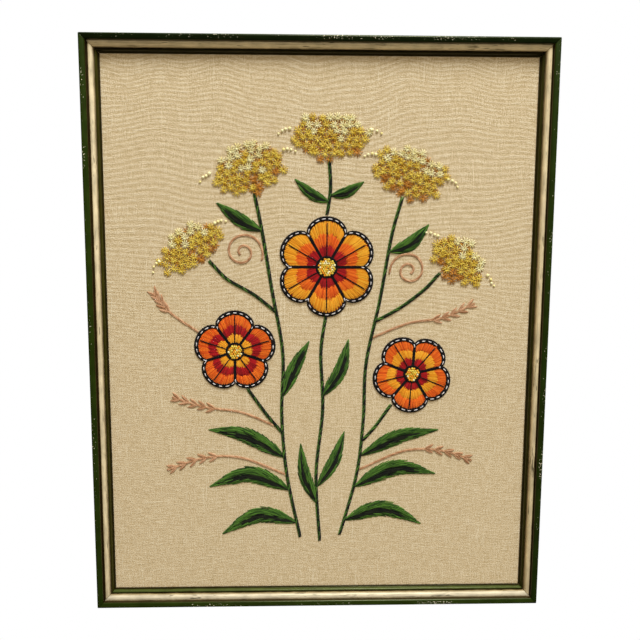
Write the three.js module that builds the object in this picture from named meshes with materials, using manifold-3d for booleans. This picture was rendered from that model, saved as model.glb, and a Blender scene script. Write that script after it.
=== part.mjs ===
// Framed embroidery: a linen sheet worked with wool in low relief, stretched in a mitred picture frame.
// Millimetres, +Z up. The picture faces -Y, and its back, the plane y = 0, lies against the wall.
// The origin is the middle of the top rail's back face, where the picture hangs.

import * as THREE from "three";
import Module from "manifold-3d";

const wasm = await Module();
wasm.setup();

// Frame
const OUTER_WIDTH = 430;
const OUTER_HEIGHT = 540;
const RAIL_WIDTH = 17.1; // outer edge to sight edge
const RAIL_DEPTH = 22; // wall to the crest of the outer bead
const REBATE_WIDTH = 4.1;
const REBATE_DEPTH = 11.2;
const MITRE_GAP = 0.3;
const PIECE_GAP = 0.3;

// Linen
const LINEN_THICKNESS = 2;
const LINEN_FRONT = REBATE_DEPTH - PIECE_GAP; // distance of its face from the wall

// Needlework: rises are heights above its own underside
const STEM_RISE = 1.4;
const STEM_ROOT_HALF_WIDTH = 1.75;
const STEM_TIP_HALF_WIDTH = 1.2;
const LEAF_RISE = 1.6;
const LEAF_BELLY = 0.85; // under 1 the leaf is widest nearer its base
const TAN_RISE = 1.1;
const TAN_HALF_WIDTH = 0.8;
const LINE_STEP = 9; // length of one straight step along a worked line

const HANG_DROP = (RAIL_WIDTH - REBATE_WIDTH) / 2; // top edge to the origin

const PAINT_ROUGHNESS = 0.45;
const CLOTH_ROUGHNESS = 0.95;

const COLOURS = {
  frame: 0x2c4420,
  linen: 0xcdb78e,
  orange: 0xe8742a,
  red: 0xb3202a,
  amber: 0xf09a2e,
  yellow: 0xe3bb3c,
  green: 0x2f5a26,
  tan: 0xc2946a,
};

// Blossoms: centre, radius, petals, turn of the first petal and the ground colour of the petals
const BLOSSOMS = [
  { name: "blossom_centre", x: 6, z: 62, radius: 47, petals: 6, turn: 30, colour: COLOURS.orange },
  { name: "blossom_left", x: -80, z: -18, radius: 39, petals: 5, turn: 18, colour: COLOURS.red },
  { name: "blossom_right", x: 88, z: -40, radius: 38, petals: 5, turn: 50, colour: COLOURS.amber },
];

const PETAL_NOTCH = 0.26; // depth of the dip between two petals, as a share of the radius
const PETAL_RISE = 1.3;
const PETAL_SWELL = 0.4;
const PETAL_HOLLOW = 0.6; // how far the fold between two petals sinks
const RIM_SHARE = 0.86; // the raised rim starts this far out
const RIM_RISE = 0.35;
const EYE_SHARE = 0.2;
const EYE_RISE = 2.3;
const EYE_DROP = 0.3; // from the middle of the eye to its edge

// Heads of star flowers: centre, half sizes along and across, and the turn of the long side
const HEADS = [
  { name: "head_far_left", x: -120, z: 80, long: 31, short: 20, turn: 35 },
  { name: "head_left", x: -66, z: 152, long: 35, short: 23, turn: 18 },
  { name: "head_top", x: 8, z: 182, long: 36, short: 21, turn: 0 },
  { name: "head_right", x: 82, z: 148, long: 35, short: 23, turn: -18 },
  { name: "head_far_right", x: 130, z: 68, long: 30, short: 19, turn: -38 },
];

const FLOWER_PITCH = 10;
const FLOWER_RADIUS = 4.4;
const FLOWER_RISE = 2.3;
const FLOWER_EDGE_RISE = 1;
const FLOWER_INSET = 2; // from the mound's edge to the middle of the outermost flowers
const MOUND_RISE = 1.3;
const MOUND_EDGE_RISE = 0.8;

// Sprigs: each stem is a line of points from its root, and each leaf a line from base over bend to tip
const SPRIGS = [
  {
    name: "sprig_left",
    stems: [
      [[-18, -203], [-31, -140], [-36, -80], [-35, -20], [-45, 40], [-54, 95], [-60, 125]],
      [[-35, -98], [-50, -80], [-65, -59]],
      [[-42, 20], [-62, 36], [-86, 50], [-99, 63]],
    ],
    leaves: [
      { base: [-21, -188], bend: [-58, -180], tip: [-94, -199], half: 8 },
      { base: [-28, -155], bend: [-66, -139], tip: [-106, -151], half: 8.5 },
      { base: [-33, -122], bend: [-70, -100], tip: [-106, -94], half: 8 },
      { base: [-35, -62], bend: [-24, -34], tip: [-10, -8], half: 6.5 },
      { base: [-54, 95], bend: [-74, 105], tip: [-96, 121], half: 6.5 },
    ],
  },
  {
    name: "sprig_centre",
    stems: [[[1, -207], [-3, -140], [3, -75], [1, -20], [5, 13]]],
    leaves: [
      { base: [-1, -170], bend: [-14, -140], tip: [-18, -108], half: 6 },
      { base: [-2, -152], bend: [14, -126], tip: [24, -96], half: 6 },
      { base: [2, -62], bend: [19, -38], tip: [27, -6], half: 6.5 },
    ],
  },
  {
    name: "sprig_right",
    stems: [
      [[20, -201], [36, -140], [42, -85], [44, -30], [56, 30], [66, 90], [74, 121]],
      [[41, -106], [54, -91], [65, -75]],
      [[51, 10], [76, 24], [98, 41], [108, 52]],
    ],
    leaves: [
      { base: [24, -186], bend: [62, -174], tip: [100, -190], half: 8 },
      { base: [33, -152], bend: [74, -133], tip: [113, -139], half: 8.5 },
      { base: [39, -121], bend: [76, -102], tip: [115, -95], half: 7.5 },
      { base: [64, 76], bend: [84, 84], tip: [101, 102], half: 6.5 },
    ],
  },
  {
    name: "sprig_top",
    stems: [[[6, 110], [9, 134], [8, 157]]],
    leaves: [
      { base: [8, 122], bend: [-8, 129], tip: [-24, 143], half: 5 },
      { base: [9, 128], bend: [24, 131], tip: [40, 141], half: 5 },
    ],
  },
];

// Tan ears of grass: each stalk is a line of points from its root, with grains in pairs along its end
const EARS = [
  { name: "ear_low_left", line: [[-37, -137], [-75, -122], [-110, -122], [-146, -134]] },
  { name: "ear_mid_left", line: [[-46, -89], [-75, -77], [-108, -72], [-140, -62]] },
  { name: "ear_high_left", line: [[-119, 4], [-131, 12], [-143, 22], [-155, 38]] },
  { name: "ear_low_right", line: [[44, -132], [82, -116], [118, -116], [148, -126]] },
  { name: "ear_high_right", line: [[52, -4], [84, 9], [116, 14], [146, 28]] },
];
const EAR_SHARE = 0.42; // of the stalk, that carries grains
const EAR_PAIRS = 5;
const GRAIN_LENGTH = 10;
const GRAIN_HALF_WIDTH = 1.9;
const GRAIN_ANGLE = 26; // from the stalk

// Tan tendrils: the root beside a stem, the middle of the curl and the way it winds
const TENDRILS = [
  { name: "tendril_left", x: -54, z: 70, midX: -72, midZ: 76, winds: 1 },
  { name: "tendril_right", x: 65, z: 58, midX: 83, midZ: 59, winds: -1 },
];
const TENDRIL_TURNS = 1.7;
const TENDRIL_EYE = 3.2; // radius at the inner end
const TENDRIL_PULL = 1.3; // over 1 the turns close up towards the eye

// The crown of a worked band, right edge to left edge, in half widths and rises
const PLAIN_CROWN = [[-1, 0], [-0.62, 0.84], [0, 1], [0.62, 0.84], [1, 0]];
const VEINED_CROWN = [[-1, 0], [-0.72, 0.8], [-0.34, 1], [0, 0.66], [0.34, 1], [0.72, 0.8], [1, 0]];

const radians = THREE.MathUtils.degToRad;

/** An indexed geometry from points and triangles. */
function geometryOf(points, triangles) {
  const geometry = new THREE.BufferGeometry();
  geometry.setAttribute("position", new THREE.Float32BufferAttribute(points.flat(), 3));
  geometry.setIndex(triangles.flat());
  return geometry;
}

/** The union of closed geometries as one geometry. */
function joined(geometries) {
  const solids = geometries.map((geometry) => new wasm.Manifold(new wasm.Mesh({
    numProp: 3,
    vertProperties: geometry.attributes.position.array,
    triVerts: new Uint32Array(geometry.index.array),
  })));
  const mesh = solids.reduce((sum, solid) => sum.add(solid)).getMesh();
  const geometry = new THREE.BufferGeometry();
  geometry.setAttribute("position", new THREE.Float32BufferAttribute(mesh.vertProperties, 3));
  geometry.setIndex(new THREE.BufferAttribute(mesh.triVerts, 1));
  return geometry;
}

/** A smooth line through points in the plane of the cloth. */
function smoothLine(points) {
  return new THREE.SplineCurve(points.map(([x, z]) => new THREE.Vector2(x, z)));
}

/** A worked band along a line: crowned across, flat underneath, drawn to a point at both ends. */
function band(line, halfWidthAt, rise, crown) {
  const steps = Math.max(4, Math.round(line.getLength() / LINE_STEP));
  const points = [];
  const triangles = [];
  for (let i = 1; i < steps; i++) {
    const share = i / steps;
    const middle = line.getPointAt(share);
    const along = line.getTangentAt(share);
    const half = halfWidthAt(share);
    for (const [across, up] of crown) {
      points.push([middle.x - along.y * across * half, middle.y + along.x * across * half, up * rise]);
    }
  }
  const ring = crown.length;
  for (let i = 0; i < steps - 2; i++) {
    for (let k = 0; k < ring; k++) {
      const next = (k + 1) % ring;
      const a = i * ring + k;
      const b = i * ring + next;
      const c = (i + 1) * ring + next;
      const d = (i + 1) * ring + k;
      triangles.push([a, d, c], [a, c, b]);
    }
  }
  const start = points.push([...line.getPointAt(0), 0]) - 1;
  const end = points.push([...line.getPointAt(1), 0]) - 1;
  const lastRing = (steps - 2) * ring;
  for (let k = 0; k < ring; k++) {
    const next = (k + 1) % ring;
    triangles.push([start, k, next], [end, lastRing + next, lastRing + k]);
  }
  return geometryOf(points, triangles);
}

/** A worked pad round a middle: reachAt(angle) is its outline, riseAt(share, angle) its height. */
function pad(x, z, rings, spokes, reachAt, riseAt) {
  const points = [[x, z, riseAt(0, 0)]];
  const triangles = [];
  const index = (ring, spoke) => 1 + (ring - 1) * spokes + (spoke % spokes);
  for (let ring = 1; ring <= rings + 1; ring++) {
    const share = Math.min(1, ring / rings);
    for (let spoke = 0; spoke < spokes; spoke++) {
      const angle = (spoke / spokes) * 2 * Math.PI;
      const reach = reachAt(angle) * share;
      const height = ring > rings ? 0 : riseAt(share, angle); // the last ring is the foot of the edge
      points.push([x + reach * Math.cos(angle), z + reach * Math.sin(angle), height]);
    }
  }
  const foot = points.push([x, z, 0]) - 1;
  for (let spoke = 0; spoke < spokes; spoke++) {
    triangles.push([0, index(1, spoke), index(1, spoke + 1)]);
    for (let ring = 1; ring <= rings; ring++) {
      const a = index(ring, spoke);
      const b = index(ring, spoke + 1);
      const c = index(ring + 1, spoke + 1);
      const d = index(ring + 1, spoke);
      triangles.push([a, d, c], [a, c, b]);
    }
    triangles.push([foot, index(rings + 1, spoke + 1), index(rings + 1, spoke)]);
  }
  return geometryOf(points, triangles);
}

/** The moulding's section: distance in from the outer edge, and height above the wall. */
function railSection() {
  const section = new THREE.Shape();
  const rebateWall = RAIL_WIDTH - REBATE_WIDTH;
  section.moveTo(0, 0);
  section.lineTo(rebateWall, 0);
  section.lineTo(rebateWall, REBATE_DEPTH);
  section.lineTo(RAIL_WIDTH, REBATE_DEPTH);
  section.lineTo(RAIL_WIDTH, 11.9); // sight edge and its fillet
  section.lineTo(15.4, 12.2);
  section.quadraticCurveTo(15.2, 14.8, 13.9, 14.8); // inner bead
  section.quadraticCurveTo(13, 14.8, 12.9, 13.5);
  section.lineTo(12.4, 13.5); // quirk
  section.lineTo(12.4, 14.4);
  section.quadraticCurveTo(11.9, 18.9, 9.3, 18.9); // cream bead
  section.quadraticCurveTo(7.8, 18.9, 7.1, 18.3);
  section.lineTo(6.5, 18.3); // quirk
  section.lineTo(6.4, 19.8);
  section.quadraticCurveTo(6.3, RAIL_DEPTH, 4.5, RAIL_DEPTH); // outer bead
  section.lineTo(2.4, RAIL_DEPTH);
  section.quadraticCurveTo(0, RAIL_DEPTH, 0, 18.8);
  return section;
}

/** One rail of the given length, lying along the bottom of the frame, its ends mitred. */
function railGeometry(length) {
  const geometry = new THREE.ExtrudeGeometry(railSection(), {
    depth: length,
    bevelEnabled: false,
    curveSegments: 7,
  });
  const shortening = MITRE_GAP / Math.SQRT2;
  const position = geometry.attributes.position;
  for (let i = 0; i < position.count; i++) {
    const cut = position.getX(i) + shortening;
    position.setZ(i, position.getZ(i) < length / 2 ? cut : length - cut);
  }
  const inward = new THREE.Vector3(0, 0, 1);
  const outOfWall = new THREE.Vector3(0, -1, 0);
  const along = new THREE.Vector3(1, 0, 0);
  geometry.applyMatrix4(new THREE.Matrix4().makeBasis(inward, outOfWall, along));
  return geometry.translate(-length / 2, 0, 0);
}

/** A wool or painted finish. */
function finish(colour, roughness) {
  return new THREE.MeshStandardMaterial({ color: colour, roughness, metalness: 0 });
}

const paint = finish(COLOURS.frame, PAINT_ROUGHNESS);
const linenCloth = finish(COLOURS.linen, CLOTH_ROUGHNESS);
const greenWool = finish(COLOURS.green, CLOTH_ROUGHNESS);
const yellowWool = finish(COLOURS.yellow, CLOTH_ROUGHNESS);
const tanWool = finish(COLOURS.tan, CLOTH_ROUGHNESS);

/** A mesh under its piece's name. */
function namedMesh(name, geometry, material) {
  const mesh = new THREE.Mesh(geometry, material);
  mesh.name = name;
  return mesh;
}

/** The four rails, each turned to its side about the middle of the picture. */
function frameRails() {
  const rails = new THREE.Group();
  const sides = [
    { name: "rail_bottom", turn: 0, length: OUTER_WIDTH, out: OUTER_HEIGHT / 2 },
    { name: "rail_left", turn: 90, length: OUTER_HEIGHT, out: OUTER_WIDTH / 2 },
    { name: "rail_top", turn: 180, length: OUTER_WIDTH, out: OUTER_HEIGHT / 2 },
    { name: "rail_right", turn: -90, length: OUTER_HEIGHT, out: OUTER_WIDTH / 2 },
  ];
  for (const { name, turn, length, out } of sides) {
    const side = new THREE.Group();
    const rail = namedMesh(name, railGeometry(length), paint);
    rail.position.z = -out;
    side.rotation.y = radians(turn);
    side.add(rail);
    rails.add(side);
  }
  return rails;
}

/** The linen, its edges in the rebate behind the rails' lip. */
function linenSheet() {
  const margin = 2 * (RAIL_WIDTH - REBATE_WIDTH + PIECE_GAP);
  const sheet = new THREE.BoxGeometry(OUTER_WIDTH - margin, LINEN_THICKNESS, OUTER_HEIGHT - margin);
  const linen = namedMesh("linen", sheet, linenCloth);
  linen.position.y = -(LINEN_FRONT - LINEN_THICKNESS / 2);
  return linen;
}

/** A blossom: scalloped petals with a raised rim, a hollow between each two and a domed eye. */
function blossom({ name, x, z, radius, petals, turn, colour }) {
  const RINGS = 8;
  const SPOKES_A_PETAL = 8;
  const lobe = (angle) => Math.abs(Math.cos((petals * (angle - radians(turn))) / 2));
  const reachAt = (angle) => radius * (1 - PETAL_NOTCH * (1 - Math.sqrt(lobe(angle))));
  const riseAt = (share, angle) => {
    if (share <= EYE_SHARE) return EYE_RISE - EYE_DROP * (share / EYE_SHARE) ** 2;
    const swell = PETAL_SWELL * Math.sin(Math.PI * share);
    const rim = share > RIM_SHARE ? RIM_RISE : 0;
    const hollow = PETAL_HOLLOW * (1 - lobe(angle)) ** 2;
    return PETAL_RISE + swell + rim - hollow;
  };
  const shape = pad(x, z, RINGS, petals * SPOKES_A_PETAL, reachAt, riseAt);
  return namedMesh(name, shape, finish(colour, CLOTH_ROUGHNESS));
}

/** A head of star flowers: a low oval mound with the small flowers crowded on it as domes. */
function flowerHead({ name, x, z, long, short, turn }) {
  const MOUND_SPOKES = 24;
  const FLOWER_SPOKES = 6;
  const RINGS = 2;
  const middle = new THREE.Vector2(x, z);
  const domed = (rise, edgeRise) => (share) => rise - (rise - edgeRise) * share * share;
  const moundAt = (angle) => {
    const own = angle - radians(turn);
    return (long * short) / Math.hypot(short * Math.cos(own), long * Math.sin(own));
  };
  const pieces = [pad(x, z, RINGS, MOUND_SPOKES, moundAt, domed(MOUND_RISE, MOUND_EDGE_RISE))];
  const rowHeight = FLOWER_PITCH * Math.sin(Math.PI / 3);
  const rows = Math.floor(short / rowHeight);
  for (let row = -rows; row <= rows; row++) {
    const up = row * rowHeight;
    const reach = (long - FLOWER_INSET) * Math.sqrt(Math.max(0, 1 - (up / short) ** 2));
    const count = Math.max(1, Math.round((2 * reach) / FLOWER_PITCH));
    for (let i = 0; i < count; i++) {
      const along = count > 1 ? reach * ((2 * i) / (count - 1) - 1) : 0;
      const spot = new THREE.Vector2(x + along, z + up).rotateAround(middle, radians(turn));
      const domeAt = domed(FLOWER_RISE, FLOWER_EDGE_RISE);
      pieces.push(pad(spot.x, spot.y, RINGS, FLOWER_SPOKES, () => FLOWER_RADIUS, domeAt));
    }
  }
  return namedMesh(name, joined(pieces), yellowWool);
}

/** A sprig: its stems and leaves fused where they meet. */
function sprig({ name, stems, leaves }) {
  const stemWidthAt = (share) => THREE.MathUtils.lerp(STEM_ROOT_HALF_WIDTH, STEM_TIP_HALF_WIDTH, share);
  const pieces = stems.map((line) => band(smoothLine(line), stemWidthAt, STEM_RISE, PLAIN_CROWN));
  for (const { base, bend, tip, half } of leaves) {
    const leafWidthAt = (share) => half * Math.sin(Math.PI * share ** LEAF_BELLY);
    pieces.push(band(smoothLine([base, bend, tip]), leafWidthAt, LEAF_RISE, VEINED_CROWN));
  }
  return namedMesh(name, joined(pieces), greenWool);
}

/** An ear of grass: a thin stalk with pairs of grains along its end. */
function ear({ name, line }) {
  const stalk = smoothLine(line);
  const pieces = [band(stalk, () => TAN_HALF_WIDTH, TAN_RISE, PLAIN_CROWN)];
  for (let pair = 0; pair < EAR_PAIRS; pair++) {
    const share = 1 - EAR_SHARE * (1 - pair / EAR_PAIRS);
    const root = stalk.getPointAt(share);
    for (const side of [-1, 1]) {
      const way = stalk.getTangentAt(share).rotateAround(new THREE.Vector2(), side * radians(GRAIN_ANGLE));
      const tip = root.clone().addScaledVector(way, GRAIN_LENGTH);
      const grainWidthAt = (part) => GRAIN_HALF_WIDTH * Math.sin(Math.PI * part);
      pieces.push(band(new THREE.LineCurve(root, tip), grainWidthAt, TAN_RISE, PLAIN_CROWN));
    }
  }
  return namedMesh(name, joined(pieces), tanWool);
}

/** A tendril: a thin line that winds in from its root to its eye. */
function tendril({ name, x, z, midX, midZ, winds }) {
  const POINTS_A_TURN = 14;
  const reach = Math.hypot(x - midX, z - midZ);
  const startAngle = Math.atan2(z - midZ, x - midX);
  const count = Math.round(TENDRIL_TURNS * POINTS_A_TURN);
  const points = [];
  for (let i = 0; i <= count; i++) {
    const share = i / count;
    const radius = TENDRIL_EYE + (reach - TENDRIL_EYE) * (1 - share) ** TENDRIL_PULL;
    const angle = startAngle + winds * share * TENDRIL_TURNS * 2 * Math.PI;
    points.push([midX + radius * Math.cos(angle), midZ + radius * Math.sin(angle)]);
  }
  const shape = band(smoothLine(points), () => TAN_HALF_WIDTH, TAN_RISE, PLAIN_CROWN);
  return namedMesh(name, shape, tanWool);
}

/** All the wool on the linen's face. */
function needlework() {
  const face = new THREE.Group();
  face.rotation.x = Math.PI / 2; // the plane of the cloth stands up, heights point at the viewer
  face.position.y = -(LINEN_FRONT + PIECE_GAP);
  face.add(...BLOSSOMS.map(blossom), ...HEADS.map(flowerHead), ...SPRIGS.map(sprig));
  face.add(...EARS.map(ear), ...TENDRILS.map(tendril));
  return face;
}

const picture = new THREE.Group();
picture.position.z = HANG_DROP - OUTER_HEIGHT / 2;
picture.add(frameRails(), linenSheet(), needlework());

const part = new THREE.Group();
part.add(picture);

export default part;
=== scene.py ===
"""Dresses a framed wool embroidery: painted moulding, slubby linen and crewel work laid stitch by stitch.

Needlework sizes are millimetres in the picture's plane, from the middle of the linen: x to the viewer's
right, z up, and height out of the cloth. PicturePlane turns them into the frame's metres.
"""

from __future__ import annotations

import itertools
import logging
import math
import zlib
from collections.abc import Mapping, Sequence
from dataclasses import dataclass, field
from enum import Enum
from typing import Any

import bpy
import numpy as np
from mathutils import Matrix, Vector

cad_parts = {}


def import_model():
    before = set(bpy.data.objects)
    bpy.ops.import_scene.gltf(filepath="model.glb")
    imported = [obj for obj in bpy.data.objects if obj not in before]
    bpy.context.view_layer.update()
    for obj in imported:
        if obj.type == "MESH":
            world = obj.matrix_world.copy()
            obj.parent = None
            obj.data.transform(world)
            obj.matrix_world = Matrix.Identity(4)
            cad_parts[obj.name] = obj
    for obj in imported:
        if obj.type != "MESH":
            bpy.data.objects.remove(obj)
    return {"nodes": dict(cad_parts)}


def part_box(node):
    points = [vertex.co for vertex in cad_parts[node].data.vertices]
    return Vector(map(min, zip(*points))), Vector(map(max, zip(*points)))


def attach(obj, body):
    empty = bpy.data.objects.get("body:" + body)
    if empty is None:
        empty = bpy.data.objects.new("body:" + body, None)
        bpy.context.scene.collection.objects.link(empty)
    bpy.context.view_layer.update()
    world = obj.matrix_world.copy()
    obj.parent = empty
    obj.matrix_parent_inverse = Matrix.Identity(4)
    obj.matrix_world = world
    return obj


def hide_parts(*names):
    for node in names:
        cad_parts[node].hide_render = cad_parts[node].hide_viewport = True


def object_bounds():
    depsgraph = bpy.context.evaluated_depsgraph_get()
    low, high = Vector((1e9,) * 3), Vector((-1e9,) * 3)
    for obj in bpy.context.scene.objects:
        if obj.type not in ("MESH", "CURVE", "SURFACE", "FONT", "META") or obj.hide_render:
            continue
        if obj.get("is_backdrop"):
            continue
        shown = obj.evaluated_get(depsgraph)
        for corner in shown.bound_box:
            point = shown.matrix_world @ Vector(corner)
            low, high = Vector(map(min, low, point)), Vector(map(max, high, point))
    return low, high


LOG = logging.getLogger("framed_embroidery")
ROOT = "root"
MM = 0.001
Point = tuple[float, float]
Triple = tuple[float, float, float]
Inputs = Mapping[str, Any] | Sequence[Any]
Socket = bpy.types.NodeSocket
Tree = bpy.types.NodeTree

# Crewel wool, in millimetres
STRAND = 0.5  # radius of one strand
FINE = 0.9 * STRAND  # radius of a strand that is drawn tight
SIDES = 5  # flats round a strand
KNOT_SIDES = 7  # flats round a knot
PITCH = 1.84 * STRAND  # between neighbours in a fill, so that they just overlap
SINK = -0.3  # height of a stitch's ends, inside the cloth
STATIONS = np.array([0.0, 0.1, 0.35, 0.65, 0.9, 1.0])  # a stitch's rings, as shares of its length
TAPER = np.array([0.7, 0.95, 1.0, 1.0, 0.95, 0.7])  # its thickness at each ring
ARCH = np.array([0.0, 0.8, 1.0, 1.0, 0.8, 0.0])  # its climb out of the cloth at each ring
PLY_LENGTH = 2.4  # along a strand, for one full turn of its two plies


def linear(hex_colour: str) -> tuple[float, float, float, float]:
    """Turns an sRGB hex colour into linear RGBA.

    Args:
        hex_colour: Six hex digits after a hash sign.

    Returns:
        Red, green, blue and an alpha of 1.
    """
    shares = [int(hex_colour[i : i + 2], 16) / 255 for i in (1, 3, 5)]
    red, green, blue = (s / 12.92 if s <= 0.04045 else ((s + 0.055) / 1.055) ** 2.4 for s in shares)
    return red, green, blue, 1.0


def fill(node: bpy.types.Node, inputs: Inputs) -> None:
    """Sets or links a node's inputs.

    Args:
        node: The node.
        inputs: A value, or an output to link from, for each input by name or in order.
    """
    for name, value in inputs.items() if isinstance(inputs, Mapping) else enumerate(inputs):
        if isinstance(value, Socket):
            node.id_data.links.new(value, node.inputs[name])
        else:
            node.inputs[name].default_value = value


def add_node(tree: Tree, kind: str, inputs: Inputs = (), **settings: Any) -> Socket:
    """Adds a node, sets its properties and fills or links its inputs.

    Args:
        tree: Node tree that gets the node.
        kind: Type of node, without the ShaderNode prefix.
        inputs: A value, or an output to link from, for each input by name or in order.
        settings: The node's own properties.

    Returns:
        The first output that the new node has in use.
    """
    node = tree.nodes.new("ShaderNode" + kind)
    for name, value in settings.items():
        setattr(node, name, value)
    fill(node, inputs)
    return next(output for output in node.outputs if output.enabled)


def new_material(name: str) -> tuple[bpy.types.Material, Tree, bpy.types.Node]:
    """Makes a node material.

    Args:
        name: The real material's name.

    Returns:
        The material, its node tree and its Principled shader.
    """
    material = bpy.data.materials.new(name)
    material.use_nodes = True
    tree = material.node_tree
    return material, tree, tree.nodes["Principled BSDF"]


def set_ramp(ramp: bpy.types.ColorRamp, stops: Sequence[tuple[float, str]]) -> None:
    """Gives a colour ramp its stops.

    Args:
        ramp: The ramp to fill.
        stops: Place and hex colour of each stop, in order.
    """
    while len(ramp.elements) < len(stops):
        ramp.elements.new(1.0)
    for element, (place, colour) in zip(ramp.elements, stops):
        element.position = place
        element.color = linear(colour)


@dataclass(frozen=True)
class CrewelWool:
    """Two-ply worsted wool: matte, softly fuzzy, with painted shade between its plies and a little uneven in
    its dye.
    """

    slot: str
    deep: str
    bright: str

    def material(self) -> bpy.types.Material:
        """Builds the wool's material, which reads each strand's own dye tone and the turn of its plies, and
        darkens the colour between the plies as painted shade.

        Returns:
            The material.
        """
        material, tree, shader = new_material(f"worsted_{self.slot}")
        tone = add_node(tree, "Attribute", attribute_name="dye").node.outputs["Fac"]
        dyes = {"Factor": tone, "A": linear(self.deep), "B": linear(self.bright)}
        dyed = add_node(tree, "Mix", dyes, data_type="RGBA")
        strand = add_node(tree, "UVMap", uv_map="ply")
        around, along, _ = add_node(tree, "SeparateXYZ", (strand,)).node.outputs
        turns = add_node(tree, "Math", (along, 1 / PLY_LENGTH, around), operation="MULTIPLY_ADD")
        plies = add_node(tree, "Math", (turns, 2 * math.tau), operation="MULTIPLY")
        crest = add_node(tree, "Math", (plies,), operation="SINE")
        # Painted shade: the dye darkens to 0.72 in the grooves between the plies.
        ply_painted_shade = {"Value": crest, "From Min": -1.0, "From Max": 0.4, "To Min": 0.72, "To Max": 1.0}
        shaded = {"Factor": 1.0, "A": dyed, "B": add_node(tree, "MapRange", ply_painted_shade)}
        colour = add_node(tree, "Mix", shaded, data_type="RGBA", blend_type="MULTIPLY")
        # Fibres 0.25 mm across roughen the crests.
        place = add_node(tree, "TexCoord").node.outputs["Object"]
        fuzz = add_node(tree, "TexNoise", {"Vector": place, "Scale": 1 / (0.25 * MM), "Detail": 2.0})
        relief = add_node(tree, "Math", (fuzz, 0.6, crest), operation="MULTIPLY_ADD")
        bump = add_node(tree, "Bump", {"Height": relief, "Strength": 0.5, "Distance": 0.12 * MM})
        matte = {"Roughness": 0.9, "Specular IOR Level": 0.25, "Sheen Weight": 0.06, "Sheen Roughness": 0.5}
        fill(shader, {"Base Color": colour, "Normal": bump, **matte})
        return material


class Wool(Enum):
    """The wools of the needlework."""

    BLACK = CrewelWool("wool_black", "#070404", "#15100d")
    WHITE = CrewelWool("wool_white", "#cfc9cb", "#f4f0ec")
    RED = CrewelWool("wool_red", "#860b10", "#c4171a")
    ORANGE = CrewelWool("wool_orange", "#dd520b", "#fc7f20")
    AMBER = CrewelWool("wool_amber", "#ea900e", "#ffbb33")
    GOLD = CrewelWool("wool_amber", "#9a5c12", "#e39c35")
    YELLOW = CrewelWool("wool_yellow", "#cb9f1d", "#f9e060")
    CREAM = CrewelWool("wool_cream", "#efdf8f", "#fff8c4")
    GREEN = CrewelWool("wool_green", "#1b390a", "#58842c")
    DARK_GREEN = CrewelWool("wool_dark_green", "#0c1007", "#20230f")
    TAN = CrewelWool("wool_tan", "#a8734a", "#e0b189")


@dataclass(frozen=True)
class SlubLinen:
    """Unbleached linen in plain weave: matte flax threads, some thick and pale, that wander as woven.

    Lengths are millimetres.
    """

    ground: str = "#cdb790"
    pale: str = "#e2d3b3"
    dark: str = "#af986e"
    thread: float = 0.9  # drawn a little coarse so that the grain shows
    run: float = 10.0  # that a thread keeps its thickness
    courses: float = 4.6  # between the heavier courses of weft
    sway: float = 130.0  # over which the courses sway
    stray: float = 46.0  # between the widest strays of a course
    slub: float = 44.0  # length of a slub
    slub_shift: Triple = (7.0, 3.0, 0.0)  # takes the slubs off the finer pattern

    def material(self) -> bpy.types.Material:
        """Builds the linen's material on the sheet's own wandering weave map, in millimetres.

        Returns:
            The material.
        """
        material, tree, shader = new_material("slub_linen")
        weave = add_node(tree, "UVMap", uv_map="weave")
        # Size along the weft and along the warp, and weight, of each kind of unevenness.
        kinds = (
            (self.run, self.thread, 0.8),
            (self.thread, self.run, 0.6),
            (self.thread, self.thread, 1.9),
        )
        total: Socket | float = 0.5 - 0.5 * sum(weight for _, _, weight in kinds)
        patterns = []
        for along_weft, along_warp, weight in kinds:
            scale = (1 / along_weft, 1 / along_warp, 1.0)
            sized = add_node(tree, "Mapping", {"Vector": weave, "Scale": scale})
            pattern = add_node(tree, "TexNoise", {"Vector": sized, "Scale": 1.0, "Detail": 1.0})
            total = add_node(tree, "Math", (pattern, weight, total), operation="MULTIPLY_ADD")
            patterns.append(pattern)
        # The heavier courses show most in the upper half.
        _, up, _ = add_node(tree, "SeparateXYZ", (weave,)).node.outputs
        sway = add_node(tree, "TexNoise", {"Vector": weave, "Scale": 1 / self.sway, "Detail": 0.0})
        strayed = add_node(tree, "Math", (sway, self.stray, up), operation="MULTIPLY_ADD")
        turn = add_node(tree, "Math", (strayed, math.tau / self.courses), operation="MULTIPLY")
        course = add_node(tree, "Math", (turn,), operation="SINE")
        upper = {"Value": up, "From Min": -90.0, "From Max": 90.0, "To Min": 0.05, "To Max": 0.26}
        heavy = add_node(tree, "MapRange", upper)
        uneven = add_node(tree, "Math", (patterns[0], heavy), operation="MULTIPLY")
        total = add_node(tree, "Math", (course, uneven, total), operation="MULTIPLY_ADD")
        for scale in ((1 / self.slub, 1 / self.thread, 1.0), (1 / self.thread, 1 / self.slub, 1.0)):
            sized = add_node(tree, "Mapping", {"Vector": weave, "Scale": scale, "Location": self.slub_shift})
            thick = add_node(tree, "TexNoise", {"Vector": sized, "Scale": 1.0, "Detail": 0.0})
            rare = {"Value": thick, "From Min": 0.7, "From Max": 0.85, "To Max": 0.4}
            total = add_node(tree, "Math", (add_node(tree, "MapRange", rare), total), operation="ADD")
        flax = add_node(tree, "ValToRGB", {"Fac": total})
        set_ramp(flax.node.color_ramp, ((0.1, self.dark), (0.5, self.ground), (0.9, self.pale)))
        bump = add_node(tree, "Bump", {"Height": total, "Strength": 0.5, "Distance": 0.4 * MM})
        matte = {"Roughness": 0.92, "Specular IOR Level": 0.2, "Sheen Weight": 0.06}
        fill(shader, {"Base Color": flax, "Normal": bump, **matte})
        return material


GRAIN = 12.0  # how many times longer than wide the marks along a rail are


class RailRun(Enum):
    """The way a rail, and so its grain, runs: squeeze of the wood pattern along x, y and z."""

    ACROSS = (1.0, GRAIN, GRAIN)
    UPRIGHT = (GRAIN, GRAIN, 1.0)


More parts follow.
